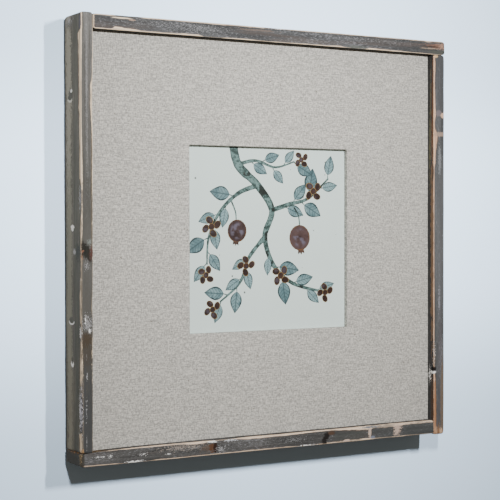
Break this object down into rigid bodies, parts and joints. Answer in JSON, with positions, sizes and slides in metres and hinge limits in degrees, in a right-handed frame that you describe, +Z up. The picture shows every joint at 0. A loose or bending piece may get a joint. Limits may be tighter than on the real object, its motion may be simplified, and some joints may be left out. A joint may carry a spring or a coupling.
{
  "type": "framed painted tile",
  "caption": "Square painted tile seen through the window of a linen-covered mat, set back in a frame of weathered boards on edge, hung by a saw-tooth hanger.",
  "frame": {"origin": "middle of the back of the saw-tooth hanger, on the wall", "axes": "+Z up the wall, +Y into the wall, +X to the right of someone who looks at the picture; the picture faces -Y"},
  "size_m": [0.4064, 0.0407, 0.4064],
  "materials": {
    "weathered_wood": "bare, silvered by weather, with worn pale arrises and flecks of old paint",
    "mat_core": "plain pale card",
    "natural_linen": "plain woven, undyed, with slubs",
    "glazed_tile": "painted under a satin glaze",
    "hardboard": "plain brown pressed board",
    "bright_steel": "thin plated strip, lightly dulled",
    "grey_felt": "pressed felt"
  },
  "bodies": {
    "root": {"top_rail": "weathered_wood", "right_stile": "weathered_wood", "bottom_rail": "weathered_wood", "left_stile": "weathered_wood", "mat_board": "mat_core", "linen_cover": "natural_linen", "painted_tile": "glazed_tile", "backing_board": "hardboard", "sawtooth_hanger": "bright_steel", "hanger_nail_left": "bright_steel", "hanger_nail_right": "bright_steel", "wall_bumper_left": "grey_felt", "wall_bumper_right": "grey_felt"}
  },
  "joints": []
}
